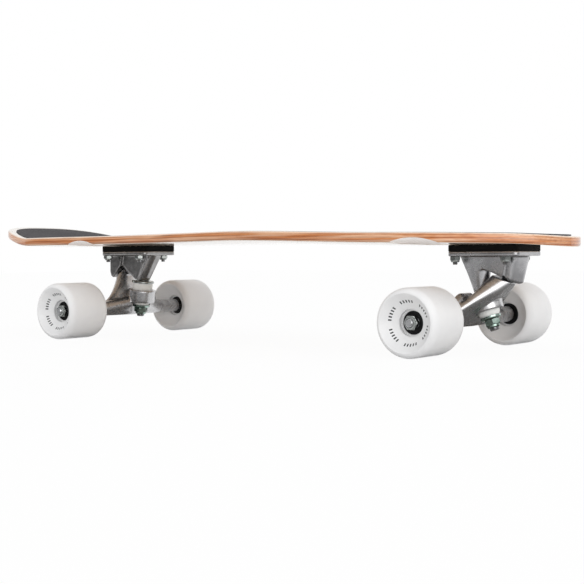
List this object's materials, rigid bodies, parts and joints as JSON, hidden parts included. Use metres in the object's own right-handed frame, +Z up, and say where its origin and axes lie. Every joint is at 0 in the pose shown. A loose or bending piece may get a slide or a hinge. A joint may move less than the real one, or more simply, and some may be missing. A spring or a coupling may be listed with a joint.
{
  "type": "surf skateboard",
  "caption": "Kicked wooden surf skateboard with a grit top, a carving truck in front, a plain truck behind and wide soft wheels.",
  "frame": {"origin": "on the ground, under the middle of the deck's length and width", "axes": "+X towards the nose, +Y towards the rider's left with the nose ahead, +Z up"},
  "size_m": [0.7494, 0.252, 0.1351],
  "materials": {
    "maple": "lacquered maple, plies showing at the edge",
    "griptape": "dark grit sheet",
    "riser": "matt black",
    "front_casting": "satin cast",
    "rear_casting": "satin cast",
    "hanger_alloy": "polished",
    "steel": "bright steel",
    "zinc_steel": "zinc plated",
    "bushing": "pale urethane",
    "pivot_cup": "black urethane",
    "wheel_urethane": "white urethane",
    "bearing": "black shields"
  },
  "bodies": {
    "board": {"deck": "maple", "griptape": "griptape", "front_riser": "riser", "front_baseplate": "front_casting", "front_pivot_cup": "pivot_cup", "front_kingpin": "steel", "front_board_washer": "zinc_steel", "front_board_bushing": "bushing", "front_road_bushing": "bushing", "front_road_washer": "zinc_steel", "front_kingpin_nut": "zinc_steel", "front_deck_bolt_1": "steel", "front_deck_bolt_2": "steel", "front_deck_bolt_3": "steel", "front_deck_bolt_4": "steel", "front_deck_nut_1": "zinc_steel", "front_deck_nut_2": "zinc_steel", "front_deck_nut_3": "zinc_steel", "front_deck_nut_4": "zinc_steel", "rear_riser": "riser", "rear_baseplate": "rear_casting", "rear_pivot_cup": "pivot_cup", "rear_kingpin": "steel", "rear_board_washer": "zinc_steel", "rear_board_bushing": "bushing", "rear_road_bushing": "bushing", "rear_road_washer": "zinc_steel", "rear_kingpin_nut": "zinc_steel", "rear_deck_bolt_1": "steel", "rear_deck_bolt_2": "steel", "rear_deck_bolt_3": "steel", "rear_deck_bolt_4": "steel", "rear_deck_nut_1": "zinc_steel", "rear_deck_nut_2": "zinc_steel", "rear_deck_nut_3": "zinc_steel", "rear_deck_nut_4": "zinc_steel"},
    "front_truck": {"front_hanger": "hanger_alloy", "front_axle": "steel", "front_left_speed_washer": "steel", "front_left_axle_nut": "zinc_steel", "front_right_speed_washer": "steel", "front_right_axle_nut": "zinc_steel"},
    "front_left_roller": {"front_left_wheel": "wheel_urethane", "front_left_inner_bearing": "bearing", "front_left_outer_bearing": "bearing"},
    "front_right_roller": {"front_right_wheel": "wheel_urethane", "front_right_inner_bearing": "bearing", "front_right_outer_bearing": "bearing"},
    "rear_truck": {"rear_hanger": "hanger_alloy", "rear_axle": "steel", "rear_left_speed_washer": "steel", "rear_left_axle_nut": "zinc_steel", "rear_right_speed_washer": "steel", "rear_right_axle_nut": "zinc_steel"},
    "rear_left_roller": {"rear_left_wheel": "wheel_urethane", "rear_left_inner_bearing": "bearing", "rear_left_outer_bearing": "bearing"},
    "rear_right_roller": {"rear_right_wheel": "wheel_urethane", "rear_right_inner_bearing": "bearing", "rear_right_outer_bearing": "bearing"}
  },
  "joints": [
    {"name": "front_steer", "type": "hinge", "parent": "board", "child": "front_truck", "pos_m": [0.28389, 0, 0.0458], "axis": [0.7071, 0, 0.7071], "range_deg": [-20, 20], "stiffness_Nm_per_rad": 26, "deforming": ["front_board_bushing", "front_road_bushing"]},
    {"name": "rear_steer", "type": "hinge", "parent": "board", "child": "rear_truck", "pos_m": [-0.18741, 0, 0.04893], "axis": [-0.766, 0, 0.6428], "range_deg": [-15, 15], "stiffness_Nm_per_rad": 34, "deforming": ["rear_board_bushing", "rear_road_bushing"]},
    {"name": "front_left_spin", "type": "hinge", "parent": "front_truck", "child": "front_left_roller", "pos_m": [0.26625, 0.0955, 0.0325], "axis": [0, 1, 0], "continuous": true},
    {"name": "front_right_spin", "type": "hinge", "parent": "front_truck", "child": "front_right_roller", "pos_m": [0.26625, -0.0955, 0.0325], "axis": [0, 1, 0], "continuous": true},
    {"name": "rear_left_spin", "type": "hinge", "parent": "rear_truck", "child": "rear_left_roller", "pos_m": [-0.20725, 0.0955, 0.0325], "axis": [0, 1, 0], "continuous": true},
    {"name": "rear_right_spin", "type": "hinge", "parent": "rear_truck", "child": "rear_right_roller", "pos_m": [-0.20725, -0.0955, 0.0325], "axis": [0, 1, 0], "continuous": true}
  ]
}
